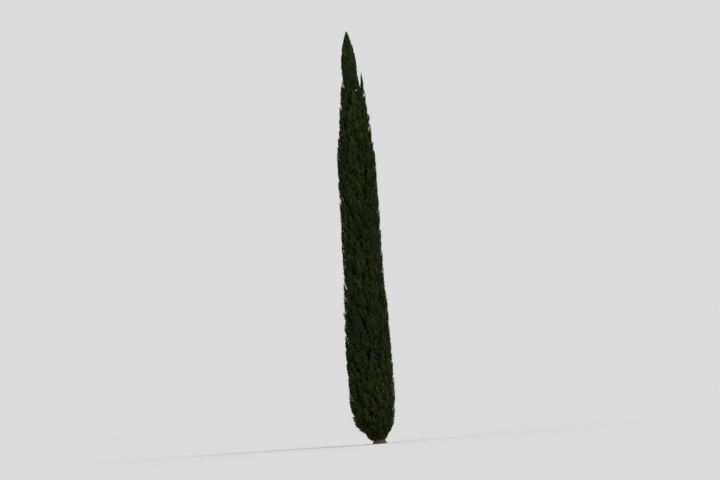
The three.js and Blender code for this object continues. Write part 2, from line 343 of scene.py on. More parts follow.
# The triangles of a stack of rings, given ring by ring, and of the fans that close it round a foot and a tip
# point, which come after the rings.
def ringFaces(rows, sides):
    first = np.arange(sides)
    after = (first + 1) % sides
    row = (np.arange(rows - 1) * sides)[:, None]
    a, b = (row + first).ravel(), (row + after).ravel()
    foot, tip, top = rows * sides, rows * sides + 1, (rows - 1) * sides
    return np.concatenate([
        np.stack([a, b, b + sides], 1),
        np.stack([a, b + sides, a + sides], 1),
        np.stack([foot + 0 * first, after, first], 1),
        np.stack([tip + 0 * first, top + first, top + after], 1),
    ])


# Many copies of one face list, each over its own row of vertices, as one list of vertices and one of faces.
def joined(vertices, faces):
    count, each = vertices.shape[:2]
    allFaces = faces[None] + (np.arange(count) * each)[:, None, None]
    return vertices.reshape(-1, 3), allFaces.reshape(-1, 3)


# Many tubes at once. Each follows its own path with rings square to it, and closes on a point at each end.
# paths is tubes x stations x 3 and radii is tubes x stations.
def tubes(paths, radii, sides):
    count, stations = radii.shape
    across, over = squareTo(unit(np.gradient(paths, axis=1)), "tube")
    turn = roundAngles(sides)[:, None]
    ring = across[:, :, None] * np.cos(turn) + over[:, :, None] * np.sin(turn)
    rings = paths[:, :, None] + radii[:, :, None, None] * ring
    ends = paths[:, [0, -1]]
    vertices = np.concatenate([rings.reshape(count, -1, 3), ends], axis=1)
    return joined(vertices, ringFaces(stations, sides))


# A new material with its shader, whose sockets are set by name.
def newMaterial(name, settings):
    material = bpy.data.materials.new(name)
    material.use_nodes = True
    shader = material.node_tree.nodes["Principled BSDF"]
    for socket, value in settings.items():
        shader.inputs[socket].default_value = value
    return material, material.node_tree, shader


# A new node with its settings, and with values for its inputs by name.
def addNode(tree, kind, inputs=None, **settings):
    node = tree.nodes.new(kind)
    for key, value in settings.items():
        setattr(node, key, value)
    for key, value in (inputs or {}).items():
        node.inputs[key].default_value = value
    return node


# A node group with named inputs and outputs, each given as name: (socket type, first value).
def newGroup(name, inputs, outputs):
    tree = bpy.data.node_groups.new(name, "ShaderNodeTree")
    for direction, sockets in (("INPUT", inputs), ("OUTPUT", outputs)):
        for key, (kind, value) in sockets.items():
            socket = tree.interface.new_socket(name=key, in_out=direction, socket_type=kind)
            if value is not None:
                socket.default_value = value
    return tree, tree.nodes.new("NodeGroupInput"), tree.nodes.new("NodeGroupOutput")


# Long grain: noise read much finer across than along, so that it draws out into fibres up the wood.
def longGrain():
    inputs = {
        "Place": ("NodeSocketVector", None),
        "Across": ("NodeSocketFloat", 40.0),
        "Along": ("NodeSocketFloat", 3.0),
        "Roughness low": ("NodeSocketFloat", 0.7),
        "Roughness high": ("NodeSocketFloat", 0.95),
    }
    outputs = {key: ("NodeSocketFloat", None) for key in ("Ridge", "Fibre", "Roughness")}
    tree, start, end = newGroup("long grain", inputs, outputs)
    link = tree.links.new
    stretch = addNode(tree, "ShaderNodeCombineXYZ")
    placed = addNode(tree, "ShaderNodeVectorMath", operation="MULTIPLY")
    ridge = addNode(tree, "ShaderNodeTexNoise", {"Scale": 1.0, "Detail": 4.0, "Distortion": 0.4})
    fibre = addNode(tree, "ShaderNodeTexNoise", {"Scale": 5.0, "Detail": 3.0})
    spread = addNode(tree, "ShaderNodeMapRange", {"From Min": 0.35, "From Max": 0.65})
    for axis, name in (("X", "Across"), ("Y", "Across"), ("Z", "Along")):
        link(start.outputs[name], stretch.inputs[axis])
    link(start.outputs["Place"], placed.inputs[0])
    link(stretch.outputs["Vector"], placed.inputs[1])
    link(placed.outputs["Vector"], ridge.inputs["Vector"])
    link(placed.outputs["Vector"], fibre.inputs["Vector"])
    link(fibre.outputs["Fac"], spread.inputs["Value"])
    link(start.outputs["Roughness low"], spread.inputs["To Min"])
    link(start.outputs["Roughness high"], spread.inputs["To Max"])
    link(ridge.outputs["Fac"], end.inputs["Ridge"])
    link(fibre.outputs["Fac"], end.inputs["Fibre"])
    link(spread.outputs["Result"], end.inputs["Roughness"])
    return tree


grainGroup = longGrain()


# The long grain in a material, read at the place on the object.
def addGrain(tree, inputs):
    place = addNode(tree, "ShaderNodeTexCoord")
    grain = addNode(tree, "ShaderNodeGroup", inputs, node_tree=grainGroup)
    tree.links.new(place.outputs["Object"], grain.inputs["Place"])
    return grain


# Colours of the bark from its furrows to the weathered tops of its ridges, and where each lies from 0 to 1.
# All are kept dark, partly as painted shade of the crown above; the furrows' colour is partly the bark's own
# and partly painted shade in the furrows
bark = {
    "furrow": ((0.010, 0.007, 0.004, 1), 0.34),
    "side": ((0.034, 0.023, 0.014, 1), 0.48),
    "top": ((0.070, 0.049, 0.032, 1), 0.62),
    "weathered": ((0.115, 0.094, 0.072, 1), 0.80),
    "specular": 0.2,
    "bumpStrength": 0.8,
    "bumpDistance": 0.009,
    "fibreShare": 0.6,
    "reliefShare": 0.6,
}


# Bark: how high the surface stands picks the colour, from dark furrows, whose darkness is partly painted
# shade, to tops that weather to grey. The height is the grain's ridges, and on the trunk mostly the relief
# that its mesh keeps at each point.
# A factor under 1 darkens every colour of the bark, as painted shade
def barkMaterial(name, across, along, shadeScale=1.0, hasRelief=False):
    material, tree, shader = newMaterial(name, {"Specular IOR Level": bark["specular"]})
    link = tree.links.new
    grain = addGrain(tree, {"Across": across, "Along": along})
    height = grain.outputs["Ridge"]
    if hasRelief:
        relief = addNode(tree, "ShaderNodeAttribute", attribute_name="relief")
        both = addNode(tree, "ShaderNodeMix", {"Factor": bark["reliefShare"]}, data_type="FLOAT")
        link(grain.outputs["Ridge"], both.inputs["A"])
        link(relief.outputs["Fac"], both.inputs["B"])
        height = both.outputs["Result"]
    colour = addNode(tree, "ShaderNodeValToRGB")
    steps = [bark[key] for key in ("furrow", "side", "top", "weathered")]
    while len(colour.color_ramp.elements) < len(steps):
        colour.color_ramp.elements.new(0.5)
    for element, (shade, at) in zip(colour.color_ramp.elements, steps):
        element.position = at
        element.color = [c * shadeScale for c in shade[:3]] + [1]
    fibrous = addNode(tree, "ShaderNodeMath", operation="MULTIPLY_ADD")
    fibrous.inputs[1].default_value = bark["fibreShare"]
    bumpInputs = {"Strength": bark["bumpStrength"], "Distance": bark["bumpDistance"]}
    bump = addNode(tree, "ShaderNodeBump", bumpInputs)
    link(height, colour.inputs["Fac"])
    link(grain.outputs["Fibre"], fibrous.inputs[0])
    link(grain.outputs["Ridge"], fibrous.inputs[2])
    link(fibrous.outputs["Value"], bump.inputs["Height"])
    link(colour.outputs["Color"], shader.inputs["Base Color"])
    link(grain.outputs["Roughness"], shader.inputs["Roughness"])
    link(bump.outputs["Normal"], shader.inputs["Normal"])
    return material


# The foliage's tones, each a plain colour that whole sprays share
leafTones = {
    "shaded": (0.0092, 0.0155, 0.0052, 1),
    "deep": (0.0145, 0.0245, 0.0070, 1),
    "middle": (0.0235, 0.0380, 0.0095, 1),
    "fresh": (0.0400, 0.0580, 0.0130, 1),
    "olive": (0.0400, 0.0420, 0.0090, 1),
    "withered": (0.0500, 0.0340, 0.0140, 1),
}

# The twigs' tones: green shoots, brown twigs and old grey ones
twigTones = {
    "shoot": (0.0380, 0.0340, 0.0120, 1),
    "brown": (0.0520, 0.0310, 0.0170, 1),
    "grey": (0.0640, 0.0500, 0.0370, 1),
}

# What every plain tone has, and the grain of the leaves' scales and of the twigs' fibres
plainTone = {"specular": 0.1, "roughLow": 0.6, "roughHigh": 0.9, "bumpStrength": 0.5}
leafGrain = {"across": 260, "along": 190, "bumpHeight": 0.002}
twigGrain = {"across": 300, "along": 40, "bumpHeight": 0.0015}


# A plain tone, with fine grain in its bump and its roughness: scales on a leaf, fibres on a twig.
def plainMaterial(name, colour, across, along, bumpHeight):
    settings = {"Base Color": colour, "Specular IOR Level": plainTone["specular"]}
    material, tree, shader = newMaterial(name, settings)
    link = tree.links.new
    grain = addGrain(tree, {
        "Across": across,
        "Along": along,
        "Roughness low": plainTone["roughLow"],
        "Roughness high": plainTone["roughHigh"],
    })
    bump = addNode(tree, "ShaderNodeBump", {"Strength": plainTone["bumpStrength"], "Distance": bumpHeight})
    link(grain.outputs["Ridge"], bump.inputs["Height"])
    link(grain.outputs["Roughness"], shader.inputs["Roughness"])
    link(bump.outputs["Normal"], shader.inputs["Normal"])
    return material


trunkBark = barkMaterial("trunk bark", across=75, along=6, hasRelief=True)
# The boughs' bark: the trunk's colours at half brightness, painted shade of the crown's inside
shadedBoughBark = barkMaterial("bough bark in painted shade", across=60, along=9, shadeScale=0.5)
leafMaterials = [plainMaterial("leaf " + tone, colour, **leafGrain) for tone, colour in leafTones.items()]
twigMaterials = [plainMaterial("twig " + tone, colour, **twigGrain) for tone, colour in twigTones.items()]
toneNumber = {tone: n for n, tone in enumerate(leafTones)}
print("materials ready")

# The trunk's bark. Its sines are each given as (size, turning up the trunk, turning round it, start).
barkRelief = {
    "sides": 396,
    "rows": 250,
    "rowPower": 2.1,
    "topRow": 0.9995,
    "rise": 0.03,
    "depth": 0.09,
    "endRelief": 0.5,
    "strips": 52,
    "cross": 7.5,
    "sway": 1.1,
    "sharpness": 0.55,
    "drift": [(1.0, 2.1, 2, 0.0), (0.6, 5.3, -3, 1.7), (0.35, 12.7, 5, 0.0)],
    "second": {"fewer": 2, "cross": 0.8, "sway": 1.3, "start": 0.9},
    "ownShare": 0.45,
    "lowerShare": 0.55,
    "fibres": 99,
    "fibreShare": 0.2,
    "fibreSway": 2,
    "fibreBend": [(1.1, 7, 0, 0.0)],
    "cracks": 15.3,
    "crackDepth": 0.6,
    "crackWidth": 0.24,
    "crackBend": [(2.4, 0, 4, 0.0), (1.5, 0, 9, 1.0)],
    "crackPatches": [(1.0, 2, 3, 0.0)],
}


# Adds sines over angle and height to a base.
def withSines(base, sines, angle, z):
    for size, upwards, around, start in sines:
        base = base + size * np.sin(upwards * z + around * angle + start)
    return base


# The bark's relief over angle and height, from 0 in a furrow to 1 on a ridge. Two sets of furrows, sines of
# the angle that turn opposite ways up the trunk and sway, cross at a slant and leave long lozenges between
# them: the first set counts, and the lower of the two. Fine fibres are mixed in, and cracks in patches
# break the ridges across.
def barkHeight(angle, z):
    strips, cross, sway = barkRelief["strips"], barkRelief["cross"], barkRelief["sway"]
    second, power = barkRelief["second"], barkRelief["sharpness"]
    drift = withSines(0, barkRelief["drift"], angle, z)
    left = np.abs(np.sin(strips / 2 * angle + cross * z + sway * drift)) ** power
    turned = (strips - second["fewer"]) / 2 * angle - second["cross"] * cross * z
    swayed = second["sway"] * sway * drift
    right = np.abs(np.sin(turned + swayed + second["start"])) ** power
    ridge = barkRelief["ownShare"] * left + barkRelief["lowerShare"] * np.minimum(left, right)
    fibreWay = barkRelief["fibres"] / 2 * angle + barkRelief["fibreSway"] * sway * drift
    fibre = np.abs(np.sin(withSines(fibreWay, barkRelief["fibreBend"], angle, z)))
    across = np.abs(np.sin(withSines(barkRelief["cracks"] * z, barkRelief["crackBend"], angle, z)))
    crack = 1 - np.minimum(1, across / barkRelief["crackWidth"])
    patches = np.abs(withSines(0, barkRelief["crackPatches"], angle, z))
    height = (1 - barkRelief["fibreShare"]) * ridge + barkRelief["fibreShare"] * fibre
    return height * (1 - barkRelief["crackDepth"] * crack * patches)


# The trunk: rings of its radius, cut in by the bark's relief, from the flat foot to the pointed tip.
# Gives the vertices, the faces and the relief at each vertex.
def trunkSurface():
    sides, rows = barkRelief["sides"], barkRelief["rows"]
    z = trunk["tip"] * np.linspace(0, 1, rows) ** barkRelief["rowPower"] * barkRelief["topRow"]
    turn, height = np.meshgrid(roundAngles(sides), z)
    relief = barkHeight(turn, height)
    cut = 1 + barkRelief["rise"] - barkRelief["depth"] * (1 - relief)
    radius = trunkRadius(height, turn) * cut
    rings = np.stack([radius * np.cos(turn), radius * np.sin(turn), height], axis=-1)
    vertices = np.concatenate([rings.reshape(-1, 3), [[0, 0, 0], [0, 0, trunk["tip"]]]])
    return vertices, ringFaces(rows, sides), np.append(relief.ravel(), 2 * [barkRelief["endRelief"]])


trunkVertices, trunkFaces, trunkRelief = trunkSurface()
trunkPiece = meshObject("trunk_bark", trunkVertices, trunkFaces, [trunkBark])
# The relief at each vertex, which the bark's colour reads: darker in the furrows, partly as painted shade
mask = trunkPiece.data.attributes.new("relief", "FLOAT", "POINT")
mask.data.foreach_set("value", trunkRelief)
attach(trunkPiece, "root")
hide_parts("trunk")
print("trunk made,", len(trunkFaces), "triangles")

bough = {
    "thickness": 0.0072,
    "tipRadius": 0.0022,
    "taper": 0.8,
    "inside": 0.35,
    "stations": 34,
    "sides": 9,
    "highest": 0.985,
    "leaderFrom": 0.62,
}


# The boughs: each follows its plume's middle, from inside the trunk to near the plume's tip, and thins by a
# power of the share that is left.
def boughTubes():
    paths, radii = [], []
    for i in range(plumeTotal):
        lowest = bough["leaderFrom"] if i == leaderRow else 0.0
        s = np.linspace(lowest, bough["highest"], bough["stations"])
        path = plumeMiddle(i, s)
        if i != leaderRow:
            path[0, :2] *= bough["inside"]
        thick = bough["thickness"] * plumes["length"][i] * (1 - s) ** bough["taper"]
        paths.append(path)
        radii.append(thick + bough["tipRadius"])
    return tubes(np.array(paths), np.array(radii), bough["sides"])


boughPiece = meshObject("boughs", *boughTubes(), [shadedBoughBark])
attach(boughPiece, "root")
print("boughs made")

twig = {
    "apart": 0.057,
    "usualWidth": 0.32,
    "leastApart": 0.034,
    "mostApart": 0.062,
    "leaderApart": 0.02,
    "lowest": 0.012,
    "highest": 0.95,
    "turn": 0.6,
    "run": 0.5,
    "lowRun": 0.16,
    "lowRunEnd": 0.22,
    "footCrowding": 0.5,
    "topRun": 0.75,
    "runVariation": 0.2,
    "tipReach": 0.88,
    "leastReach": 0.22,
    "curve": 1.7,
    "stations": 4,
    "radius": 0.0052,
    "tipRadius": 0.0016,
    "sides": 3,
}


# The azimuths of twigs up a stem: a golden angle apart, and each turned a little by chance.
def twigAzimuths(number, seed):
    return number * goldenAngle + twig["turn"] * (chance(seed, "twigAzimuth") - 0.5)


# The twigs of one plume: a golden angle apart up its bough. Each ends higher up, at the outside of the
# plume's own space, and its way out follows a power of what is left, so that it leaves the bough and then
# turns up. They stand closer by the square of the plume's width, and on the lowest plumes a power of the
# share crowds them towards the foot.
def growTwigs(i):
    length = plumes["length"][i]
    apart = twig["apart"] * (twig["usualWidth"] / plumes["width"][i]) ** 2
    apart = min(max(apart, twig["leastApart"]), twig["mostApart"])
    if i == leaderRow:
        apart = twig["leaderApart"]
    count = int((twig["highest"] - twig["lowest"]) * length / apart)
    number = np.arange(count)
    seed = numbering["twigs"] * i + number
    crowding = 1 + twig["footCrowding"] * max(0, 1 - plumes["base"][i] / plume["lowCrown"])
    s = mix(twig["lowest"], twig["highest"], ((number + 0.5) / count) ** crowding)
    angle = plumes["azimuth"][i] + twigAzimuths(number, seed)
    low = mix(twig["lowRun"], 1, np.minimum(1, s / twig["lowRunEnd"]))
    run = np.minimum(low * twig["run"], twig["topRun"] * (1 - s) * length)
    run = run * vary(twig["runVariation"], seed, "twigSize")
    top = s + run / length
    most = plumeRoom(i, top)
    reach = reachOf(i, top, angle, most)
    keep = reach > twig["leastReach"] * most
    u = np.linspace(0, 1, twig["stations"])
    out = (twig["tipReach"] * reach)[:, None] * (1 - (1 - u) ** twig["curve"])
    share = s[:, None] + (run / length)[:, None] * u
    paths = plumePoint(i, share, out, angle[:, None])
    return paths[keep], np.hypot(run, reach)[keep], seed[keep]


# Twigs straight from the trunk: those of its foot, which all stay, and those that reach into the gaps
# between the plumes and under the leader. These grow in rounds and stay only where fewer than enough spray
# tips stand near by.
trunkTwigKinds = {
    "foot": {
        "count": 350, "lowest": 0.13, "highest": 3.6, "crowding": 1.5, "reach": (0.4, 0.9), "first": 0.15,
        "rounds": 1, "enough": 1000, "firstSeed": 900000,
    },
    "gap": {
        "count": 3000, "lowest": 0.4, "highest": 11.5, "crowding": 1.1, "reach": (0.78, 0.94), "first": 0.4,
        "rounds": 6, "enough": 7, "firstSeed": 950000,
    },
    "top": {
        "count": 240, "lowest": 9.9, "highest": 11.95, "crowding": 1.0, "reach": (0.5, 0.9), "first": 0.35,
        "rounds": 3, "enough": 14, "firstSeed": 980000,
    },
}
trunkTwig = {
    "nearBy": 0.16,
    "lots": 50,
    "footRise": -0.03,
    "rise": 0.5,
    "fullRise": 1.4,
    "inside": 0.7,
    "reachPower": 0.5,
    "sprayScale": 0.75,
}


# The trunk's own twigs: a golden angle apart up it. Each goes out by a power of what is left to a share of
# the crown's outline, and bends up by a power of its length.
def growTrunkTwigs(kind):
    number = np.arange(kind["count"])
    seed = kind["firstSeed"] + number
    base = mix(kind["lowest"], kind["highest"], ((number + 0.5) / len(number)) ** kind["crowding"])
    angle = twigAzimuths(number, seed)
    rise = mix(trunkTwig["footRise"], trunkTwig["rise"], np.minimum(1, base / trunkTwig["fullRise"]))
    share = mix(*kind["reach"], chance(seed, "twigSize") ** trunkTwig["reachPower"])
    end = share * leafReach(np.stack([np.cos(angle), np.sin(angle), base + rise], axis=-1))
    u = np.linspace(0, 1, twig["stations"])
    start = trunkTwig["inside"] * trunkRadius(base)
    out = mix(start[:, None], end[:, None], 1 - (1 - u) ** twig["curve"])
    z = base[:, None] + rise[:, None] * u ** twig["curve"]
    paths = np.stack([out * np.cos(angle)[:, None], out * np.sin(angle)[:, None], z], axis=-1)
    return paths, np.hypot(rise, end), seed


# How many of the tips stand near each place, counted for one lot of places at a time.
def tipsNear(places, tips):
    near = np.zeros(len(places), int)
    for some in np.array_split(np.arange(len(places)), trunkTwig["lots"]):
        apart = np.linalg.norm(places[some, None] - tips[None], axis=-1)
        near[some] = (apart < trunkTwig["nearBy"]).sum(axis=1)
    return near


spray = {
    "apart": 0.066,
    "leastOnTwig": 2,
    "mostOnTwig": 9,
    "first": 0.15,
    "last": 0.97,
    "length": 0.27,
    "lengthVariation": 0.2,
    "fullRadius": 0.2,
    "leastScale": 0.5,
    "sideways": 0.6,
    "lastSideways": 0.1,
    "upwards": 0.3,
    "upwardsFrom": 0.2,
    "levelPart": 0.5,
    "inside": 0.95,
    "lowestShare": 0.02,
    "highestShare": 0.997,
    "leastRoom": 0.012,
    "shortest": 0.09,
    "tipCount": 5,
    "tipFrom": 0.86,
    "tipTo": 0.98,
    "tipHighest": 0.998,
    "tipSpread": 0.35,
    "lowestTip": 0.05,
}


# Where along straight pieces of paths the share u lies: the point, and the direction there.
def alongPaths(paths, u):
    last = paths.shape[1] - 1
    at = np.clip(u * last, 0, last - tiny)
    step = at.astype(int)
    row = np.arange(len(paths))
    a, b = paths[row, step], paths[row, step + 1]
    return a + (b - a) * (at - step)[:, None], unit(b - a)


# Brings spray tips that stand out of a plume's own space back to its outside, at their own height.
def keptInside(i, tips):
    s = np.clip(lengthShare(i, tips), spray["lowestShare"], spray["highestShare"])
    away = tips - plumeMiddle(i, s)
    distance = np.hypot(away[:, 0], away[:, 1])
    angle = np.arctan2(away[:, 1], away[:, 0])
    allowed = spray["inside"] * reachOf(i, s, angle, plumeRoom(i, s))
    kept = np.minimum(distance, np.maximum(allowed, spray["leastRoom"]))
    return plumePoint(i, s, kept, angle)


# Sprays along twigs, a golden angle apart, and one at each twig's end. Gives lists of their roots, their
# tips and their seeds.
def spraysAlong(paths, long, seeds, scale, upright, first):
    roots, tips, numbers = [], [], []
    leafy = long * (1 - first) / (1 - spray["first"])
    here = (leafy / spray["apart"]).astype(int) + 1
    here = np.clip(here, spray["leastOnTwig"], spray["mostOnTwig"])
    for m in range(spray["mostOnTwig"]):
        on = here > m
        if not on.any():
            continue
        isLast = here[on] == m + 1
        u = np.where(isLast, spray["last"], mix(first, 1, m / np.maximum(1, here[on] - 1)))
        root, along = alongPaths(paths[on], u)
        seed = seeds[on] * numbering["sprays"] + m
        across, over = squareTo(along, "spray")
        turn = (m * goldenAngle + 2 * np.pi * chance(seed, "sprayTurn"))[:, None]
        side = across * np.cos(turn) + over * np.sin(turn)
        lean = np.where(isLast, spray["lastSideways"], spray["sideways"])[:, None]
        axis = unit(along + lean * side + upright[on, None] * np.array([0, 0, 1.0]))
        size = scale[on] * spray["length"] * vary(spray["lengthVariation"], seed, "sprayLength")
        roots.append(root)
        tips.append(root + axis * size[:, None])
        numbers.append(seed)
    return roots, tips, numbers


def longEnough(roots, tips, numbers):
    enough = np.linalg.norm(tips - roots, axis=1) > spray["shortest"]
    return roots[enough], tips[enough], numbers[enough]


# The sprays of one plume: along its twigs, and a few round the bough's tip.
def growSprays(i, paths, long, seeds):
    share = lengthShare(i, paths[:, -1])
    scale = np.clip(plumeRadius(i, share) / spray["fullRadius"], spray["leastScale"], 1)
    upright = spray["upwards"] * np.clip(share / spray["upwardsFrom"] - spray["levelPart"], 0, 1)
    roots, tips, numbers = spraysAlong(paths, long, seeds, scale, upright, spray["first"])
    number = np.arange(spray["tipCount"])
    s = mix(spray["tipFrom"], spray["tipTo"], (number + 0.5) / spray["tipCount"])
    up = s + spray["leastScale"] * spray["length"] / plumes["length"][i]
    up = np.minimum(spray["tipHighest"], up)
    roots.append(plumeMiddle(i, s))
    tips.append(plumePoint(i, up, spray["tipSpread"] * plumeRadius(i, up), number * goldenAngle))
    numbers.append(numbering["firstTipSpray"] + numbering["tipSprays"] * i + number)
    roots, numbers = np.concatenate(roots), np.concatenate(numbers)
    tips = keptInside(i, np.concatenate(tips))
    return longEnough(roots, tips, numbers)


# Brings points outside the crown's outline back to an uneven share of it, straight towards the axis.
def withinCrown(points):
    away = np.hypot(points[..., 0], points[..., 1])
    number = np.arange(away.size).reshape(away.shape)
    allowed = leafReach(points) * (1 - leafLimit["uneven"] * chance(number, "crownEdge"))
    kept = points.copy()
    kept[..., :2] *= np.minimum(1, allowed / np.maximum(away, tiny))[..., None]
    return kept


# The sprays of the trunk's own twigs, which keep above the ground.
def growTrunkSprays(paths, long, seeds, first):
    scale = np.full(len(paths), trunkTwig["sprayScale"])
    upright = spray["upwards"] * np.clip(paths[:, 0, 2] / trunkTwig["fullRise"], 0, 1)
    lots = spraysAlong(paths, long, seeds, scale, upright, first)
    roots, tips, numbers = (np.concatenate(lot) for lot in lots)
    tips = withinCrown(tips)
    tips[:, 2] = np.maximum(tips[:, 2], spray["lowestTip"])
    return longEnough(roots, tips, numbers)


finger = {
    "lowest": 0.02,
    "highest": 0.78,
    "lowSplay": 0.66,
    "highSplay": 0.28,
    "endSplay": 0.03,
    "splayVariation": 0.3,
    "lowLength": 0.48,
    "highLength": 0.32,
    "lengthVariation": 0.2,
    "endFrom": 0.6,
    "bow": 0.05,
    "radiusVariation": 0.2,
    "flatness": 0.75,
    "tipShare": 0.6,
    "lowestShare": 0.02,
    "highestShare": 0.998,
    "leastRoom": 0.01,
    "faces": [[0, 1, 2], [1, 0, 3], [2, 3, 0], [3, 2, 1]],
}
# How many fingers a spray has, how thick they are and at most which share of their length that is, from the
# crown's outside inwards, each down to a depth
sprayKinds = [
    {"toDepth": 0.088, "count": 18, "radius": 0.0068, "lengthShare": 0.10},
    {"toDepth": 0.20, "count": 10, "radius": 0.0135, "lengthShare": 0.18},
    {"toDepth": math.inf, "count": 6, "radius": 0.0280, "lengthShare": 0.5},
]


# The leafy fingers of many sprays. A finger starts on the spray's axis, which bows by the parabola
# 4 s (1 - s), and splays from it by an angle that shrinks towards the spray's tip, with a golden angle
# between neighbours. It is a closed blunt wedge of four corners: an edge across its root, and a shorter one
# across its tip, square to the first. keep brings tips back into the space that the foliage has.
def fingerMesh(roots, tips, seeds, kind, keep):
    count = kind["count"]
    k = np.arange(count)
    t = (k / (count - 1))[None]
    number = seeds[:, None] * numbering["fingers"] + k
    reach = np.linalg.norm(tips - roots, axis=1)[:, None]
    axis = unit(tips - roots)
    across, over = squareTo(axis, "bow")
    axis, across, over = axis[:, None], across[:, None], over[:, None]
    turn = (k * goldenAngle + 2 * np.pi * chance(seeds, "fingerTurn")[:, None])[..., None]
    side = across * np.cos(turn) + finger["flatness"] * over * np.sin(turn)
    splay = mix(finger["lowSplay"], finger["highSplay"], t)
    splay = splay * vary(finger["splayVariation"], number, "fingerSplay")
    length = mix(finger["lowLength"], finger["highLength"], t)
    length = length * vary(finger["lengthVariation"], number, "fingerLength")
    start = mix(finger["lowest"], finger["highest"], t) + 0 * length
    isEnd = k == count - 1
    splay = np.where(isEnd, finger["endSplay"], splay)
    start = np.where(isEnd, finger["endFrom"], start)
    length = np.where(isEnd, 1 - finger["endFrom"], length)
    bow = (finger["bow"] * 4 * start * (1 - start) * reach)[..., None] * across
    direction = unit(axis * np.cos(splay)[..., None] + side * np.sin(splay)[..., None])
    root = roots[:, None] + axis * (start * reach)[..., None] + bow
    tip = keep(root + direction * (length * reach)[..., None])
    direction = unit(tip - root)
    around, other = squareTo(direction, "leaf")
    roll = (2 * np.pi * chance(number, "fingerRoll"))[..., None]
    wide = around * np.cos(roll) + other * np.sin(roll)
    thick = np.cross(direction, wide)
    usual = (kind["radius"] * vary(finger["radiusVariation"], number, "fingerRadius"))[..., None]
    most = kind["lengthShare"] * np.linalg.norm(tip - root, axis=-1, keepdims=True)
    radius = np.minimum(usual, most)
    narrow = finger["tipShare"] * radius
    corners = [root - radius * wide, root + radius * wide, tip - narrow * thick, tip + narrow * thick]
    return joined(np.stack(corners, axis=2).reshape(-1, 4, 3), np.array(finger["faces"]))


# Brings points outside a plume's room at their height back to it, on the spires to an uneven share.
def withinPlume(i, points):
    s = np.clip(lengthShare(i, points), finger["lowestShare"], finger["highestShare"])
    away = points[..., :2] - plumeMiddle(i, s)[..., :2]
    distance = np.hypot(away[..., 0], away[..., 1])
    number = np.arange(distance.size).reshape(distance.shape)
    uneven = 1 - (leafLimit["spireUneven"] * chance(number, "spireEdge") if i in spires else 0)
    room = np.maximum(uneven * plumeRoom(i, s), finger["leastRoom"])
    scale = np.minimum(1, room / np.maximum(distance, tiny))
    kept = points.copy()
    kept[..., :2] -= away * (1 - scale)[..., None]
    return kept if i in spires else withinCrown(kept)


# How the tones are dealt out: by depth in metres and by shares of the sprays, some larger at the foot
tonePlan = {
    "deepBelow": 0.42,
    "freshAbove": 0.8,
    "plumeSwing": 0.45,
    "footHeight": 3.2,
    "olive": 0.1,
    "footOlive": 0.3,
    "spireDepth": 0.4,
    "shadedDepth": 0.27,
    "shadedVariation": 0.25,
    "deadDepth": 0.42,
    "dead": 0.3,
    "withered": 0.012,
    "footWithered": 0.1,
    "thinDepth": 0.38,
    "thinShare": 0.5,
}


# How deep inside the crown points lie, from just under where its leaves end.
def depthOf(points):
    return leafReach(points) - leafLimit["outside"] - np.hypot(points[:, 0], points[:, 1])


# The tone of each spray: shaded deep inside the crown, and some dead there. Further out it goes by chance,
# and the plume's own number shifts it, so that neighbours differ. Near the foot more are olive or withered.
def sprayTones(i, tips, depth, seeds):
    pick = chance(seeds, "tone") + tonePlan["plumeSwing"] * (chance(i, "plumeTone") - 0.5)
    tone = np.full(len(seeds), toneNumber["middle"])
    tone[pick < tonePlan["deepBelow"]] = toneNumber["deep"]
    tone[pick > tonePlan["freshAbove"]] = toneNumber["fresh"]
    foot = np.clip(1 - tips[:, 2] / tonePlan["footHeight"], 0, 1)
    isOlive = chance(seeds, "olive") < tonePlan["olive"] + tonePlan["footOlive"] * foot
    isShaded = depth > tonePlan["shadedDepth"] * vary(tonePlan["shadedVariation"], seeds, "shaded")
    isDead = (depth > tonePlan["deadDepth"]) & (chance(seeds, "dead") < tonePlan["dead"])
    isWithered = chance(seeds, "withered") < tonePlan["withered"] + tonePlan["footWithered"] * foot
    tone[isOlive] = toneNumber["olive"]
    tone[isShaded] = toneNumber["shaded"]
    tone[isDead | isWithered] = toneNumber["withered"]
    return tone


# The leaves of one lot of sprays: fine ones outside, coarser ones deeper in the crown, where some are left
# out. The slim spires count as less deep. Gives the vertices, faces and tone numbers of each kind.
def leavesOf(i, roots, tips, numbers, keep):
    depth = depthOf(tips) * (tonePlan["spireDepth"] if i in spires else 1)
    seen = (depth < tonePlan["thinDepth"]) | (chance(numbers, "thinned") < tonePlan["thinShare"])
    roots, tips, numbers, depth = roots[seen], tips[seen], numbers[seen], depth[seen]
    tone = sprayTones(i, tips, depth, numbers)
    made = []
    fromDepth = -math.inf
    for kind in sprayKinds:
        on = (depth > fromDepth) & (depth <= kind["toDepth"])
        fromDepth = kind["toDepth"]
        if on.any():
            vertices, faces = fingerMesh(roots[on], tips[on], numbers[on], kind, keep)
            made.append((vertices, faces, np.repeat(tone[on], len(finger["faces"]) * kind["count"])))
    return made


# One piece of foliage from lots of leaves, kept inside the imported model's box.
def foliagePiece(name, lots):
    vertices, faces, tones, start = [], [], [], 0
    for newVertices, newFaces, newTones in lots:
        vertices.append(newVertices)
        faces.append(newFaces + start)
        tones.append(newTones)
        start += len(newVertices)
    edge = leafLimit["boxEdge"]
    vertices = np.clip(np.concatenate(vertices), np.array(cadLow) + edge, np.array(cadHigh) - edge)
    faces, tones = np.concatenate(faces), np.concatenate(tones)
    piece = meshObject(name, vertices, faces, leafMaterials, tones)
    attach(piece, "root")
    print(name, "made,", len(piece.data.polygons), "triangles")
    return piece


# Groups of plumes that make one piece of foliage each, with the leader in the last
foliageGroups = {
    "foliage_foot": range(0, 8),
    "foliage_low": range(8, 16),
    "foliage_middle": range(16, 24),
    "foliage_high": range(24, 33),
    "foliage_top": range(33, plumeTotal),
}
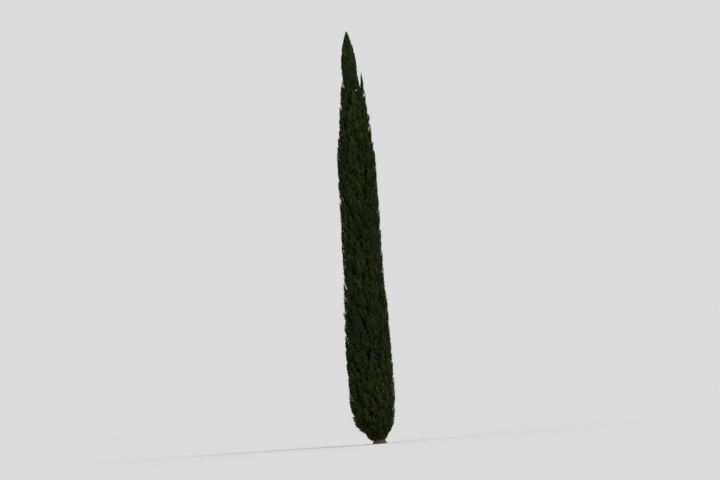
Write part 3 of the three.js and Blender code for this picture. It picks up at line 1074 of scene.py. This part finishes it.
# Kinds of the trunk's own twigs that make one piece of foliage each
innerGroups = {
    "foliage_inner": ["foot"],
    "foliage_between": ["gap", "top"],
}
twigPaths, twigSeeds, sprayTips, pieces = [], [], [], []


# Keeps grown twigs and their sprays' tips for later, and gives the leaves of the sprays.
def leavesOn(i, paths, seeds, sprays, keep):
    twigPaths.append(paths)
    twigSeeds.append(seeds)
    sprayTips.append(sprays[1])
    return leavesOf(i, *sprays, keep)


for name, rows in foliageGroups.items():
    lots = []
    for i in rows:
        paths, long, seeds = growTwigs(i)
        sprays = growSprays(i, paths, long, seeds)
        lots += leavesOn(i, paths, seeds, sprays, lambda points: withinPlume(i, points))
    piece = foliagePiece(name, lots)
    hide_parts(*[plumeNames[i] for i in rows])
    pieces.append(piece)

for name, kinds in innerGroups.items():
    lots = []
    for kind in [trunkTwigKinds[key] for key in kinds]:
        grown = growTrunkTwigs(kind)
        for n in range(kind["rounds"]):
            paths, long, seeds = (values[n::kind["rounds"]] for values in grown)
            thin = tipsNear(paths[:, -1], np.concatenate(sprayTips)) < kind["enough"]
            if thin.any():
                paths, long, seeds = paths[thin], long[thin], seeds[thin]
                sprays = growTrunkSprays(paths, long, seeds, kind["first"])
                lots += leavesOn(plumeTotal, paths, seeds, sprays, withinCrown)
    pieces.append(foliagePiece(name, lots))


# All the twigs as one piece, each in one plain tone.
def twigsPiece(paths, seeds):
    u = np.linspace(0, 1, twig["stations"])
    thickness = mix(twig["radius"], twig["tipRadius"], u) * np.ones((len(paths), 1))
    vertices, faces = tubes(paths, thickness, twig["sides"])
    tones = (chance(seeds, "twigTone") * len(twigMaterials)).astype(int)
    slots = np.repeat(tones, len(faces) // len(paths))
    piece = meshObject("twigs", vertices, faces, twigMaterials, slots)
    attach(piece, "root")
    return piece


pieces.append(twigsPiece(np.concatenate(twigPaths), np.concatenate(twigSeeds)))
total = sum(len(piece.data.polygons) for piece in pieces)
print("twigs made,", sum(map(len, twigSeeds)), "twigs; with the foliage", total, "triangles")

studio = {
    "floorRadius": 600.0,
    "floorSides": 96,
    "floorDrop": 0.002,
    "floorColour": (0.558, 0.565, 0.572, 1),
    "floorPatches": 0.8,
    "floorRoughness": (0.85, 0.95),
    "sky": (0.84, 0.84, 0.84, 1),
    "skyStrength": 0.85,
}


# The floor: one pale disc, a fan round its middle, far wider than any view of the tree.
def floorDisc():
    sides = studio["floorSides"]
    turn = roundAngles(sides)
    ring = studio["floorRadius"] * np.stack([np.cos(turn), np.sin(turn), 0 * turn], axis=1)
    vertices = np.concatenate([ring, [[0, 0, 0]]]) - [0, 0, studio["floorDrop"]]
    first = np.arange(sides)
    return vertices, np.stack([first, (first + 1) % sides, sides + 0 * first], 1)


def floorMaterial():
    settings = {"Base Color": studio["floorColour"], "Specular IOR Level": 0.0}
    material, tree, shader = newMaterial("pale floor", settings)
    roughLow, roughHigh = studio["floorRoughness"]
    place = addNode(tree, "ShaderNodeTexCoord")
    noise = addNode(tree, "ShaderNodeTexNoise", {"Scale": studio["floorPatches"]})
    rough = addNode(tree, "ShaderNodeMapRange", {"To Min": roughLow, "To Max": roughHigh})
    tree.links.new(place.outputs["Object"], noise.inputs["Vector"])
    tree.links.new(noise.outputs["Fac"], rough.inputs["Value"])
    tree.links.new(rough.outputs["Result"], shader.inputs["Roughness"])
    return material


floor = meshObject("floor", *floorDisc(), [floorMaterial()], smooth=False)

# Soft suns: strength, and in degrees softness, azimuth they shine from (0 is the camera's side) and height
suns = {
    "key": {"strength": 2.2, "soft": 20, "from": 38, "height": 42, "colour": (1.0, 0.97, 0.92)},
    "fill": {"strength": 0.7, "soft": 60, "from": -55, "height": 25, "colour": (0.92, 0.96, 1.0)},
}


# The direction to a place at an azimuth and height, where azimuth 0 lies on the camera's side.
def towards(azimuth, height):
    a, h = math.radians(azimuth), math.radians(height)
    return Vector((math.sin(a) * math.cos(h), -math.cos(a) * math.cos(h), math.sin(h)))


for name, values in suns.items():
    light = bpy.data.lights.new(name, "SUN")
    light.energy = values["strength"]
    light.angle = math.radians(values["soft"])
    light.color = values["colour"]
    lamp = bpy.data.objects.new(name, light)
    lamp.rotation_euler = towards(values["from"], values["height"]).to_track_quat("Z", "Y").to_euler()
    bpy.context.scene.collection.objects.link(lamp)

world = bpy.data.worlds.new("studio")
world.use_nodes = True
background = world.node_tree.nodes["Background"]
background.inputs["Color"].default_value = studio["sky"]
background.inputs["Strength"].default_value = studio["skyStrength"]
bpy.context.scene.world = world
bpy.context.scene.view_settings.view_transform = "Standard"

# The camera stands low and far off, as in the photograph, where the tree leans a little to the left
camera = {
    "lens": 166.0,
    "distance": 112.0,
    "height": 1.1,
    "aim": (-0.1, 0, 6.9),
    "roll": 4.6,
    "farthest": 2000,
}


def placeCamera():
    data = bpy.data.cameras.new("camera")
    data.lens = camera["lens"]
    data.clip_end = camera["farthest"]
    made = bpy.data.objects.new("camera", data)
    made.location = (camera["aim"][0], -camera["distance"], camera["height"])
    gaze = Vector(camera["aim"]) - made.location
    straight = gaze.to_track_quat("-Z", "Y")
    roll = Matrix.Rotation(math.radians(-camera["roll"]), 4, "Z").to_quaternion()
    made.rotation_euler = (straight @ roll).to_euler()
    bpy.context.scene.collection.objects.link(made)
    bpy.context.scene.camera = made


placeCamera()
print("stage, lights and camera set")
